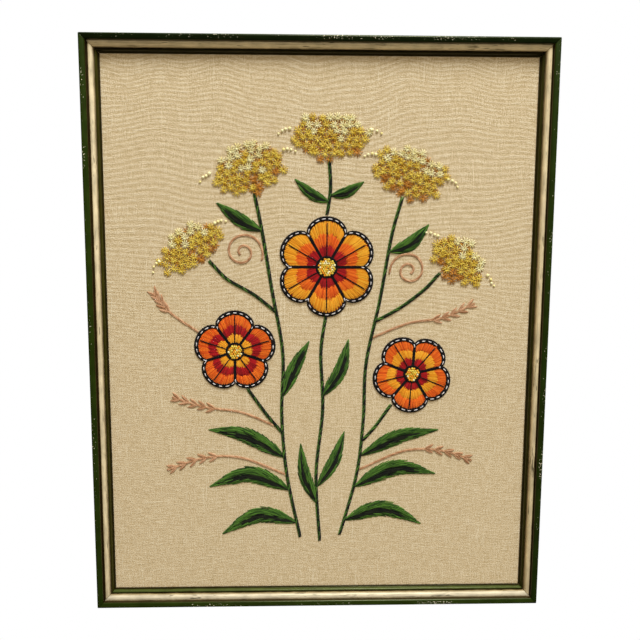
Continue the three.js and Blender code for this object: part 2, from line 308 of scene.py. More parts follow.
@dataclass(frozen=True)
class Lining:
    """How one rail was painted by hand: its paints and the cream's edges, in mm, from the outside in. Its
    green, its two creams and its inner beads' colour also carry painted light and shade, as lit and shaded
    copies of one paint.
    """

    node: str
    run: RailRun
    # the rail's green, lightened or darkened as painted light and shade for that rail
    green: str
    outer_cream_with_painted_light: str
    inner_cream_with_painted_light: str
    bead_with_painted_light: str
    cream_from: float
    cream_to: float


class Rail(Enum):
    """The four rails, in lit and shaded copies of one paint. Painted shade darkens the top rail's green,
    inner cream and inner beads, the right rail's green and inner beads, and the left rail's outer cream;
    painted highlight lightens the top rail's outer cream, the bottom rail's inner beads and creams, and the
    left rail's inner cream. No two cream bands lie quite alike.
    """

    # Painted light and shade: the greens, creams and inner beads' colours below differ by how light falls on
    # each rail.
    TOP = Lining("rail_top", RailRun.ACROSS, "#0d1a02", "#eedfbb", "#cbb78d", "#1f1a02", 6.65, 12.2)
    BOTTOM = Lining("rail_bottom", RailRun.ACROSS, "#233104", "#dccfb2", "#d4c7aa", "#444e1f", 6.75, 12.1)
    LEFT = Lining("rail_left", RailRun.UPRIGHT, "#223203", "#cdbb95", "#e0cfa9", "#333003", 8.15, 12.5)
    RIGHT = Lining("rail_right", RailRun.UPRIGHT, "#1d2d03", "#d6c39b", "#d8c59d", "#2a2802", 7.6, 12.4)


@dataclass(frozen=True)
class PaintedMoulding:
    """Moulded softwood under satin oil paint: dark green, one cream band, umber rubbed into the quirks.

    The eye finds soft highlights on the beads, a hand-painted edge to each band, pale nicks on the outer
    arris and bare wood at the back. Painted highlight lightens the green on the outer arris, painted shade
    darkens the cream at its edges, and each rail's colours carry painted light and shade of their own.
    """

    half_width: float
    top: float
    bottom: float
    front: float  # y of the rails' front
    rail_width: float
    rebate_wall: float  # in from the outer edge
    rebate_front: float  # y of the lip's underside
    # painted highlight: the outer arris's green, lightened where light catches the crest
    arris_highlight_green: str = "#364c1a"
    sight: str = "#241c03"
    umber: str = "#2a1c06"
    # painted shade: the cream darkened where the bead rolls into its quirks
    cream_painted_shade: str = "#9a8459"
    chip: str = "#d8d0b4"
    wood: str = "#b08a5b"
    wood_grain: str = "#8a6438"
    varnish: str = "#fffdc4"  # old varnish warms the highlights
    wander: float = 0.2 * MM  # of the brush, to either side
    nicked: float = 4.0 * MM  # reach of the nicks from the outer front arris
    skin: float = 0.1 * MM  # that keeps a face's finish off the edge of the next face

    def material(self, rail: Rail) -> bpy.types.Material:
        """Builds the paint of one rail.

        Args:
            rail: The rail, which gives the way its grain lies and how its bands are lined.

        Returns:
            The material.
        """
        lining = rail.value
        material, tree, shader = new_material(f"painted_softwood_{rail.name.lower()}")
        place = add_node(tree, "TexCoord").node.outputs["Object"]
        _, depth, _ = add_node(tree, "SeparateXYZ", (place,)).node.outputs
        inward = self.inward(tree, place)
        # Brush marks about 1.3 mm wide run along the rail, over mottling of about 14 mm in the paint film.
        drawn = add_node(tree, "Mapping", {"Vector": place, "Scale": lining.run.value})
        marks = add_node(tree, "TexNoise", {"Vector": drawn, "Scale": 1 / (16 * MM), "Detail": 2.0})
        film = add_node(tree, "TexNoise", {"Vector": place, "Scale": 1 / (14 * MM), "Detail": 5.0})
        both = add_node(tree, "Math", (film, marks), operation="ADD")
        uneven = {"Value": both, "From Min": 0.7, "From Max": 1.3, "To Min": 0.68, "To Max": 1.2}
        tint = add_node(tree, "MapRange", uneven)
        coats = {"Factor": 1.0, "A": self.bands(tree, lining, place, inward), "B": tint}
        painted = add_node(tree, "Mix", coats, data_type="RGBA", blend_type="MULTIPLY")
        # Scuffs about 1 mm wide and 11 mm long, in a few places, bare the umber under the top coat.
        patch = add_node(tree, "TexNoise", {"Vector": place, "Scale": 1 / (40 * MM)})
        scuff = add_node(tree, "TexNoise", {"Vector": drawn, "Scale": 1 / (11 * MM), "Detail": 1.0})
        thin = add_node(tree, "Math", (patch, 0.55, scuff), operation="MULTIPLY_ADD")
        rubbed = {"Value": thin, "From Min": 0.95, "From Max": 1.02, "To Max": 0.8}
        under = {"Factor": add_node(tree, "MapRange", rubbed), "A": painted, "B": linear(self.umber)}
        scuffed = add_node(tree, "Mix", under, data_type="RGBA")
        # Nicks of about 1.3 mm, in clusters, along the outer front arris.
        nick = add_node(tree, "TexNoise", {"Vector": place, "Scale": 1 / (1.3 * MM), "Detail": 1.0})
        knocks = add_node(tree, "Math", (patch, 0.55, nick), operation="MULTIPLY_ADD")
        hard = add_node(tree, "Math", (knocks, 1.01), operation="GREATER_THAN")
        reach = add_node(tree, "Math", (inward, depth), operation="ADD")
        arris = add_node(tree, "Math", (reach, self.front + self.nicked), operation="LESS_THAN")
        chipped = add_node(tree, "Math", (hard, arris), operation="MULTIPLY")
        nicks = {"Factor": chipped, "A": scuffed, "B": linear(self.chip)}
        worn = add_node(tree, "Mix", nicks, data_type="RGBA")
        # Bare wood, with grain lines about 3 mm wide, on the back and in the rebate.
        grain = add_node(tree, "TexNoise", {"Vector": drawn, "Scale": 1 / (33.3 * MM), "Detail": 4.0})
        woods = {"Factor": grain, "A": linear(self.wood), "B": linear(self.wood_grain)}
        timber = add_node(tree, "Mix", woods, data_type="RGBA")
        bare = self.bare(tree, depth, inward)
        colour = add_node(tree, "Mix", {"Factor": bare, "A": worn, "B": timber}, data_type="RGBA")
        satin = add_node(tree, "MapRange", {"Value": film, "To Min": 0.27, "To Max": 0.4})
        roughness = add_node(tree, "Math", (bare, 0.4, satin), operation="MULTIPLY_ADD")
        relief = add_node(tree, "Math", (chipped, -1.0, film), operation="MULTIPLY_ADD")
        bump = add_node(tree, "Bump", {"Height": relief, "Strength": 0.35, "Distance": 0.3 * MM})
        gloss = {"Roughness": roughness, "Specular IOR Level": 0.4, "Specular Tint": linear(self.varnish)}
        fill(shader, {"Base Color": colour, "Normal": bump, **gloss})
        return material

    def inward(self, tree: Tree, place: Socket) -> Socket:
        """Measures how far in from the frame's outer edge a place lies.

        Args:
            tree: The material's node tree.
            place: The place, in metres.

        Returns:
            The distance, in metres.
        """
        x, _, z = add_node(tree, "SeparateXYZ", (place,)).node.outputs
        across = add_node(tree, "Math", (x,), operation="ABSOLUTE")
        nearest = add_node(tree, "Math", (self.half_width, across), operation="SUBTRACT")
        for upper, lower in ((self.top, z), (z, self.bottom)):
            edge = add_node(tree, "Math", (upper, lower), operation="SUBTRACT")
            nearest = add_node(tree, "Math", (nearest, edge), operation="MINIMUM")
        return nearest

    def bands(self, tree: Tree, lining: Lining, place: Socket, inward: Socket) -> Socket:
        """Lines a rail with its paints, painted highlight and painted shade among them, by a brush that
        wandered a little over strokes of about 9 mm.

        Args:
            tree: The material's node tree.
            lining: How the rail was painted.
            place: The place, in metres.
            inward: Its distance in from the outer edge.

        Returns:
            The colour of the paint.
        """
        brush = add_node(tree, "TexNoise", {"Vector": place, "Scale": 1 / (9 * MM), "Detail": 2.0})
        edge = add_node(tree, "Math", (brush, 2 * self.wander, inward), operation="MULTIPLY_ADD")
        across = {"Value": edge, "From Min": self.wander, "From Max": self.rail_width + self.wander}
        paint = add_node(tree, "ValToRGB", {"Fac": add_node(tree, "MapRange", across)})
        green_to = min(5.7, lining.cream_from - 1.0)
        # Millimetres from the outside in: green lightened on the outer arris as a painted highlight, a quirk,
        # the cream darkening to painted shade at its edges, a quirk, the inner bead and sight edge.
        stops = (
            (0.0, self.arris_highlight_green),
            (1.0, lining.green),
            (green_to, lining.green),
            (green_to + 0.6, self.umber),
            (lining.cream_from - 0.2, self.umber),
            (lining.cream_from, self.cream_painted_shade),
            (lining.cream_from + 0.5, lining.outer_cream_with_painted_light),
            (lining.cream_from + 2.2, lining.inner_cream_with_painted_light),
            (lining.cream_to - 0.8, lining.inner_cream_with_painted_light),
            (lining.cream_to, self.cream_painted_shade),
            (lining.cream_to + 0.25, self.umber),
            (12.9, self.umber),
            (13.2, lining.bead_with_painted_light),
            (15.3, lining.bead_with_painted_light),
            (15.6, self.sight),
        )
        set_ramp(paint.node.color_ramp, [(mm * MM / self.rail_width, colour) for mm, colour in stops])
        return paint

    def bare(self, tree: Tree, depth: Socket, inward: Socket) -> Socket:
        """Tells which faces were never painted.

        Args:
            tree: The material's node tree.
            depth: y of the place.
            inward: Its distance in from the outer edge.

        Returns:
            1 on the back and in the rebate, and 0 elsewhere.
        """
        back = add_node(tree, "Math", (depth, -2 * self.skin), operation="GREATER_THAN")
        lip, wall = self.rebate_front - self.skin, self.rebate_wall - self.skin
        behind_lip = add_node(tree, "Math", (depth, lip), operation="GREATER_THAN")
        inside = add_node(tree, "Math", (inward, wall), operation="GREATER_THAN")
        rebate = add_node(tree, "Math", (behind_lip, inside), operation="MULTIPLY")
        return add_node(tree, "Math", (back, rebate), operation="MAXIMUM")


class Line:
    """A line in the picture's plane, measured along its length."""

    SAMPLES = 40  # between two points of a smooth line
    SIGHT = 0.5  # ahead and back along the line, to find its way

    def __init__(self, points: np.ndarray) -> None:
        """Measures a line.

        Args:
            points: Its points, close together.
        """
        self.points = points
        steps = np.linalg.norm(np.diff(points, axis=0), axis=1)
        self.travel = np.concatenate([[0.0], np.cumsum(steps)])
        self.length = float(self.travel[-1])

    @classmethod
    def smooth(cls, points: Sequence[Point]) -> Line:
        """Draws a smooth line through a few points.

        Args:
            points: The points, from root to tip.

        Returns:
            The line.
        """
        knots = np.array(points, float)
        padded = np.vstack([knots[:1], knots, knots[-1:]])
        t = np.linspace(0, 1, cls.SAMPLES, endpoint=False)[:, None]
        spans = [
            b + 0.5 * ((c - a) * t + (2 * a - 5 * b + 4 * c - d) * t**2 + (3 * b - a - 3 * c + d) * t**3)
            for a, b, c, d in zip(padded, padded[1:], padded[2:], padded[3:])
        ]
        return cls(np.vstack([*spans, knots[-1:]]))

    def longer(self, root: float, tip: float) -> Line:
        """Draws the line out straight at its ends.

        Args:
            root: Length to add at its start.
            tip: Length to add at its end.

        Returns:
            The longer line.
        """
        first, last = self.points[0] - self.points[1], self.points[-1] - self.points[-2]
        start = self.points[0] + root * first / np.linalg.norm(first)
        end = self.points[-1] + tip * last / np.linalg.norm(last)
        return Line(np.vstack([start, self.points, end]))

    def at(self, travel: np.ndarray | float) -> np.ndarray:
        """Returns the points at distances along the line."""
        return np.stack([np.interp(travel, self.travel, self.points[:, i]) for i in (0, 1)], axis=-1)

    def left_at(self, travel: np.ndarray | float) -> np.ndarray:
        """Finds the way to the left of the line.

        Args:
            travel: Distances along the line.

        Returns:
            A unit direction for each distance.
        """
        way = self.at(np.asarray(travel) + self.SIGHT) - self.at(np.asarray(travel) - self.SIGHT)
        way /= np.linalg.norm(way, axis=-1, keepdims=True)
        return np.stack([-way[..., 1], way[..., 0]], axis=-1)


@dataclass(frozen=True)
class PicturePlane:
    """Where the needlework's plane lies in the frame."""

    middle_x: float
    front_y: float
    middle_z: float

    @classmethod
    def on_linen(cls) -> PicturePlane:
        """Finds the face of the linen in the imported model."""
        low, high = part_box("linen")
        return cls((low[0] + high[0]) / 2, low[1], (low[2] + high[2]) / 2)

    def place(self, points: np.ndarray) -> np.ndarray:
        """Turns needlework points into the frame's metres.

        Args:
            points: x, z and height in millimetres, in the last axis.

        Returns:
            x, y and z in metres.
        """
        x, z, height = np.moveaxis(points * MM, -1, 0)
        return np.stack([self.middle_x + x, self.front_y - height, self.middle_z + z], axis=-1)


def strand_rings(path: np.ndarray, radius: float) -> np.ndarray:
    """Lays rings round a stitch.

    Args:
        path: The stitch's middle line, one point for each of STATIONS.
        radius: Radius of the strand.

    Returns:
        Points of the rings, ring by ring.
    """
    along = np.gradient(path, axis=0)
    along /= np.linalg.norm(along, axis=1, keepdims=True)
    side = np.cross(along, (0.0, 0.0, 1.0))
    side /= np.linalg.norm(side, axis=1, keepdims=True)
    over = np.cross(side, along)
    turn = np.arange(SIDES) * math.tau / SIDES
    round_it = np.cos(turn)[:, None] * side[:, None] + np.sin(turn)[:, None] * over[:, None]
    return path[:, None] + radius * TAPER[:, None, None] * round_it


def arched(crown: float) -> np.ndarray:
    """Returns the heights of a stitch that comes out of the cloth, lies at its crown and goes back in."""
    return SINK + (crown - SINK) * ARCH


class Pile:
    """Lofted shapes in one wool, gathered before they become one mesh."""

    def __init__(self) -> None:
        """Starts with nothing."""
        self.lofts: dict[tuple[int, int], list[np.ndarray]] = {}
        self.dyes: dict[tuple[int, int], list[float]] = {}

    def add(self, rings: np.ndarray, dye: float) -> None:
        """Adds a closed loft.

        Args:
            rings: Points of its rings, ring by ring, each ring the same way round.
            dye: Tone of its dye, from 0, deep, to 1, bright.
        """
        shape = rings.shape[:2]
        self.lofts.setdefault(shape, []).append(rings)
        self.dyes.setdefault(shape, []).append(dye)

    def mesh(self, name: str, plane: PicturePlane) -> bpy.types.Mesh:
        """Joins the lofts into one mesh, with a map of each strand's plies and its dye tone.

        Args:
            name: Name of the mesh.
            plane: Where the needlework lies.

        Returns:
            The mesh, in the frame's metres.
        """
        points, faces, maps, dyes = [], [], [], []
        start = 0
        for (count, size), lofts in self.lofts.items():
            rings = np.stack(lofts)
            turned = inside_out(rings)
            rings[turned] = rings[turned][:, :, ::-1]
            firsts = start + np.arange(len(rings))[:, None, None] * count * size
            ring, spoke = np.meshgrid(np.arange(count - 1), np.arange(size), indexing="ij")
            following = (spoke + 1) % size
            near, far = ring * size + spoke, ring * size + following
            corners = np.stack([near, far, far + size, near + size], axis=-1)
            faces += (firsts + corners.reshape(1, -1, 4)).reshape(-1, 4).tolist()
            caps = np.stack([np.arange(size)[::-1], (count - 1) * size + np.arange(size)])[None]
            faces += (firsts + caps).reshape(-1, size).tolist()
            middles = rings.mean(axis=2)
            travel = np.zeros((len(rings), count))
            travel[:, 1:] = np.cumsum(np.linalg.norm(np.diff(middles, axis=1), axis=2), axis=1)
            around = np.stack([spoke, spoke + 1, spoke + 1, spoke], axis=-1) / size
            onward = np.stack([ring, ring, ring + 1, ring + 1], axis=-1)
            wrap = np.broadcast_to(around, (len(rings), *around.shape))
            maps.append(np.stack([wrap, travel[:, onward]], axis=-1).reshape(-1, 2))
            maps.append(np.zeros((len(rings) * 2 * size, 2)))
            points.append(rings.reshape(-1, 3))
            dyes.append(np.repeat(self.dyes[count, size], count * size))
            start += rings.size // 3
        mesh = bpy.data.meshes.new(name)
        mesh.from_pydata(plane.place(np.vstack(points)), [], faces)
        mesh.uv_layers.new(name="ply").uv.foreach_set("vector", np.vstack(maps).astype(np.float32).ravel())
        tones = mesh.attributes.new("dye", "FLOAT", "POINT")
        tones.data.foreach_set("value", np.concatenate(dyes).astype(np.float32))
        mesh.shade_smooth()
        return mesh


def inside_out(rings: np.ndarray) -> np.ndarray:
    """Tells which lofts have their faces pointing in.

    Args:
        rings: Lofts of one shape, each by ring and by point of the ring.

    Returns:
        True for each loft whose volume comes out negative.
    """
    own = rings - rings.mean(axis=(1, 2), keepdims=True)
    onward = np.roll(own, -1, axis=2)
    a, b = own[:, :-1], onward[:, :-1]
    c, d = onward[:, 1:], own[:, 1:]
    volume = (np.cross(a, b) * c).sum(-1) + (np.cross(a, c) * d).sum(-1)
    return volume.sum(axis=(1, 2)) < 0


@dataclass(kw_only=True)
class Motif:
    """A worked motif that stands for one solid of the frame, its stitches gathered wool by wool."""

    node: str
    piles: dict[Wool, Pile] = field(default_factory=dict)
    rng: np.random.Generator = field(init=False)

    def __post_init__(self) -> None:
        """Seeds the unevenness of the handwork from the motif's name."""
        self.rng = np.random.default_rng(zlib.crc32(self.node.encode()))

    def work(self) -> None:
        """Lays all the motif's stitches."""
        raise NotImplementedError

    def loft(self, wool: Wool, rings: np.ndarray) -> None:
        """Adds a closed loft in one wool, its dye tone drawn at random."""
        self.piles.setdefault(wool, Pile()).add(rings, self.rng.uniform())

    def lay(self, wool: Wool, spots: np.ndarray, heights: np.ndarray, radius: float = STRAND) -> None:
        """Lays one stitch.

        Args:
            wool: Wool it is worked in.
            spots: x and z at each of STATIONS.
            heights: Height at each of STATIONS.
            radius: Radius of the strand.
        """
        self.loft(wool, strand_rings(np.column_stack([spots, heights]), radius))

    def stem_stitch(
        self,
        wools: Sequence[Wool],
        line: Line,
        offset: float,
        height: float,
        length: float = 6.0,
        radius: float = STRAND,
        slant: float = 0.36,
    ) -> None:
        """Works a row of stem stitch beside a line: each stitch starts halfway along the last one.

        Args:
            wools: Wools of the row, taken in turn.
            line: Line that the row follows.
            offset: Distance of the row to the left of the line.
            height: Height of the strand's middle.
            length: Length of one stitch.
            radius: Radius of the strand.
            slant: How far each end of a stitch lies to its side of the row.
        """
        starts = np.arange(0, max(line.length - length / 2, length / 4), length / 2)
        for start, wool in zip(starts, itertools.cycle(wools)):
            travel = start + (min(start + length, line.length) - start) * STATIONS
            beside = offset + slant * (1 - 2 * STATIONS)
            spots = line.at(travel) + line.left_at(travel) * beside[:, None]
            crown = height + self.rng.uniform(-0.1, 0.1)
            self.lay(wool, spots, arched(crown), radius)

    def knot(self, wool: Wool, spot: Sequence[float], height: float, radius: float) -> None:
        """Ties a French knot.

        Args:
            wool: Wool of the knot.
            spot: Its x and z.
            height: Height of its foot.
            radius: Radius of the knot.
        """
        latitude = np.radians([-75, -35, 5, 42, 76])[:, None]
        turn = self.rng.uniform(0, math.tau) + np.arange(KNOT_SIDES) * math.tau / KNOT_SIDES
        reach = radius * np.cos(latitude)
        rise = height + radius * (0.7 + 0.8 * np.sin(latitude))
        x, z = spot[0] + reach * np.cos(turn), spot[1] + reach * np.sin(turn)
        self.loft(wool, np.stack(np.broadcast_arrays(x, z, rise), axis=-1))

    def build(self, plane: PicturePlane, wools: Mapping[Wool, bpy.types.Material]) -> list[bpy.types.Object]:
        """Makes one piece for each wool of the motif and stands them for its solid.

        Args:
            plane: Where the needlework lies.
            wools: The material of each wool.

        Returns:
            The pieces.
        """
        self.work()
        made = []
        for wool, pile in self.piles.items():
            name = f"{self.node}_{wool.name.lower()}"
            piece = bpy.data.objects.new(name, pile.mesh(name, plane))
            bpy.context.collection.objects.link(piece)
            piece.data.materials.append(wools[wool])
            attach(piece, ROOT)
            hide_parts(self.node)
            made.append(piece)
        return made


@dataclass(kw_only=True)
class Blossom(Motif):
    """A blossom: petals in long and short stitch, a black border with white dashes, and a knotted eye."""

    x: float
    z: float
    radius: float
    petals: int
    turn: float  # degrees
    zones: tuple[Wool, Wool, Wool]  # from the eye outwards
    notch: float = 0.26  # depth of the dip between two petals, as a share of the radius
    rise: float = 1.3  # of the worked surface over the cloth
    swell: float = 0.4  # more, halfway out
    hollow: float = 0.6  # how far the fold between two petals sinks
    zone_shares: tuple[Point, ...] = ((0.2, 0.46), (0.41, 0.69), (0.64, 0.93))  # of the way out
    stagger: Point = (-0.045, 0.035)  # of the ends of long and short stitches
    seam_rows: tuple[float, ...] = (-0.85, 0.0, 0.85)  # beside the fold between two petals
    seam_room: float = 0.78  # that the petals' stitches leave the seam
    seam_end: float = 0.97  # share of the way out where a seam ends
    vein_end: float = 0.88  # and where a petal's middle line does
    border: float = 4.3  # width of the black border
    border_rows: tuple[float, ...] = (0.7, 1.15, 1.25, 1.2)  # height of each, from the outline in
    dash_length: float = 3.4
    dash_step: float = 6.2
    eye_share: float = 0.2  # of the radius
    knot_pitch: float = 2.1
    knot_radius: float = 1.15
    knot_room: float = 1.3  # from the ring round the eye to the nearest knot's middle

    def lobe(self, angle: np.ndarray | float) -> np.ndarray:
        """Returns 1 on a petal's middle line and 0 in the notch between two."""
        return np.abs(np.cos(self.petals * (angle - math.radians(self.turn)) / 2))

    def reach(self, angle: np.ndarray | float) -> np.ndarray:
        """Returns the distance from the eye's middle to the outline."""
        return self.radius * (1 - self.notch * (1 - np.sqrt(self.lobe(angle))))

    def crown(self, share: np.ndarray, angle: np.ndarray | float) -> np.ndarray:
        """Returns the height of the worked surface at shares of the way out along angles."""
        swell = self.swell * np.sin(math.pi * share)
        return self.rise + swell - self.hollow * (1 - self.lobe(angle)) ** 2

    def spots(self, share: np.ndarray, angle: np.ndarray | float) -> np.ndarray:
        """Returns x and z at shares of the way out along angles."""
        out = share * self.reach(angle)
        return np.stack([self.x + out * np.cos(angle), self.z + out * np.sin(angle)], axis=-1)

    def outline(self, inset: float) -> Line:
        """Returns the closed line that runs inside the outline.

        Args:
            inset: Its distance from the outline, along the spokes.

        Returns:
            The line.
        """
        angle = math.radians(self.turn) + np.linspace(0, math.tau, 361)
        return Line(self.spots(1 - inset / self.reach(angle), angle))

    def work(self) -> None:
        """Works the padding, the petals, the seams and border, and last the eye."""
        self.pad()
        spread = math.pi / self.petals
        for petal in range(self.petals):
            middle = math.radians(self.turn) + 2 * petal * spread
            for (inner, outer), wool in zip(self.zone_shares, self.zones):
                self.fill(wool, middle, inner, outer)
            self.spoke(middle, self.vein_end, (0.0,))
            self.spoke(middle + spread, self.seam_end, self.seam_rows)
        for row, height in enumerate(self.border_rows):
            self.stem_stitch([Wool.BLACK], self.outline(STRAND + row), 0.0, height)
        self.dashes()
        self.eye()

    def pad(self) -> None:
        """Lays the padding under the petals, so that no cloth shows between stitches."""
        angle = np.linspace(0, math.tau, 8 * self.petals, endpoint=False)[None]
        share = np.array([0.03, 0.25, 0.5, 0.75, 0.93, 0.96])[:, None]
        heights = self.crown(share, angle) - 0.95
        heights[-1] = SINK
        self.loft(self.zones[0], np.dstack([self.spots(share, angle), heights]))

    def fill(self, wool: Wool, middle: float, inner: float, outer: float) -> None:
        """Fills one zone of a petal with long and short stitches that fan out from the eye.

        Args:
            wool: Wool of the zone.
            middle: Angle of the petal's middle line.
            inner: Share of the way out where the zone starts.
            outer: Share where it ends.
        """
        spread = math.pi / self.petals
        count = int(2 * spread * self.radius * outer / PITCH)
        for across in np.linspace(-1, 1, count):
            angle = middle + across * spread + self.rng.normal(0, 0.004)
            room = (1 - abs(across)) * spread * self.reach(angle) * (inner + outer) / 2
            if room < self.seam_room:
                continue
            ends = np.array([inner, outer]) + self.rng.uniform(*self.stagger, 2)
            share = ends[0] + (ends[1] - ends[0]) * STATIONS
            heights = self.crown(share, angle) - STRAND + self.rng.uniform(-0.06, 0.1)
            self.lay(wool, self.spots(share, angle), heights - 0.6 * (1 - ARCH))

    def spoke(self, angle: float, end: float, rows: Sequence[float]) -> None:
        """Works black rows from the eye towards the border.

        Args:
            angle: Way of the rows.
            end: Share of the way out where they end.
            rows: Distance of each row to the left of the spoke.
        """
        share = np.linspace(self.eye_share, end, 30)
        line = Line(self.spots(share, angle))
        for row in rows:
            self.stem_stitch([Wool.BLACK], line, row, float(self.crown(np.array(0.5), angle)) + 0.05)

    def dashes(self) -> None:
        """Works the white running stitch on the border."""
        line = self.outline(self.border / 2)
        for start in np.arange(0, line.length - self.dash_length, self.dash_step):
            length = self.dash_length * self.rng.uniform(0.85, 1.1)
            self.lay(Wool.WHITE, line.at(start + length * STATIONS), 1.0 + 0.85 * ARCH, FINE)

    def eye(self) -> None:
        """Ties the eye's knots inside a black ring."""
        rim = self.eye_share * self.radius
        angle = np.linspace(0, math.tau, 90)
        ring = np.stack([self.x + rim * np.cos(angle), self.z + rim * np.sin(angle)], axis=-1)
        for row in (-0.4, 0.5):
            self.stem_stitch([Wool.BLACK], Line(ring), row, 1.6, length=4.5)
        step = self.knot_pitch
        for row, up in enumerate(np.arange(-rim, rim, step * 0.87)):
            for out in np.arange(-rim + (row % 2) * step / 2, rim, step):
                if math.hypot(out, up) > rim - self.knot_room:
                    continue
                wool = self.rng.choice([Wool.YELLOW, Wool.AMBER, Wool.CREAM], p=[0.5, 0.3, 0.2])
                spot = np.array([self.x + out, self.z + up]) + self.rng.normal(0, 0.15, 2)
                self.knot(wool, spot, 0.9, self.knot_radius)


@dataclass(kw_only=True)
class FlowerHead(Motif):
    """A head of small star flowers, crowded in an oval: gold below, yellow in the middle, cream on top."""

    x: float
    z: float
    long: float  # half the oval's length
    short: float  # half its width
    turn: float  # degrees
    pitch: float = 7.2  # between stars
    star: float = 4.4  # reach of a star's rays
    ray: float = 0.4  # radius of their strands
    eyelet: float = 0.45  # from a star's middle to its rays
    ray_arch: tuple[float, ...] = (0.6, 0.92, 1.0, 0.9, 0.6, 0.0)  # a ray's climb at each of STATIONS
    cream_above: float = 0.35  # of the way from the oval's middle to its upper edge
    gold_below: float = -0.8
    knots: int = 4  # that trail from each end
    knot_step: float = 3.4

    def work(self) -> None:
        """Works a deep gold ground of stars, which also stands as painted shade in the gaps, the bright stars
        over it, and a trail of knots from each end.
        """
        # The deep gold ground is darker than the stars over it, so that the gaps between them read as painted
        # shade.
        for own, share in self.rows(0.5):
            if share < 0.86:
                self.flower(Wool.GOLD, own, 0.9 * self.star, 1.25 - 0.3 * share, 7)
        for own, share in self.rows(0.0):
            level = own[1] / self.short + self.rng.normal(0, 0.3)
            wool = Wool.CREAM if level > self.cream_above else Wool.YELLOW
            if level < self.gold_below:
                wool = Wool.GOLD
            reach = self.star * self.rng.uniform(0.85, 1.1)
            self.flower(wool, own, reach, 2.2 - 0.5 * share**2, self.rng.integers(9, 12))
        for end in (-1, 1):
            for knot in range(self.knots):
                along = end * (self.long + 0.5 + self.knot_step * knot)
                own = np.array([along, 0.3 * self.short - 0.5 * knot**2]) + self.rng.normal(0, 0.5, 2)
                self.knot(Wool.CREAM, self.placed(own), -0.2, 1.6 - 0.15 * knot)

    def rows(self, shift: float) -> list[tuple[np.ndarray, float]]:
        """Spreads stars over the oval in close, uneven rows.

        Args:
            shift: Shift of all rows, as a share of the pitch.

        Returns:
            Each star's middle, along and across the oval, and its share of the way to the oval's edge.
        """
        step = self.pitch * math.sin(math.pi / 3)
        found = []
        for row, across in enumerate(np.arange(-self.short + shift * step, self.short + step, step)):
            first = -self.long + (shift - 0.5 * (row % 2)) * self.pitch
            for along in np.arange(first, self.long + self.pitch, self.pitch):
                own = np.array([along, across]) + self.rng.normal(0, 0.6, 2)
                share = math.hypot(own[0] / self.long, own[1] / self.short)
                if share < 1 + self.rng.normal(0, 0.04):
                    found.append((own, share))
        return found

    def placed(self, own: np.ndarray) -> np.ndarray:
        """Places a spot of the oval in the picture.

        Args:
            own: Its distances along and across the oval.

        Returns:
            Its x and z.
        """
        tilt = math.radians(self.turn)
        spin = np.array([[math.cos(tilt), -math.sin(tilt)], [math.sin(tilt), math.cos(tilt)]])
        return np.array([self.x, self.z]) + spin @ own

    def flower(self, wool: Wool, own: np.ndarray, reach: float, height: float, rays: int) -> None:
        """Works one star flower of straight stitches.

        Args:
            wool: Its wool.
            own: Its middle, along and across the oval.
            reach: Reach of its rays.
            height: Height at its middle.
            rays: Number of its rays.
        """
        middle = self.placed(own)
        turn = self.rng.uniform(0, math.tau)
        for ray in range(rays):
            angle = turn + ray * math.tau / rays + self.rng.normal(0, 0.07)
            way = np.array([math.cos(angle), math.sin(angle)])
            out = self.eyelet + (reach * self.rng.uniform(0.86, 1.06) - self.eyelet) * STATIONS
            climb = height - STRAND + self.rng.uniform(-0.15, 0.15) - SINK
            heights = SINK + climb * np.array(self.ray_arch)
            self.lay(wool, middle + out[:, None] * way, heights, self.ray)


@dataclass(frozen=True)
class Leaf:
    """One leaf of a sprig: its line from base over bend to tip, its half width and its shaded side."""

    base: Point
    bend: Point
    tip: Point
    half: float
    shaded: int  # 1 for the left side, seen from the base, and -1 for the right


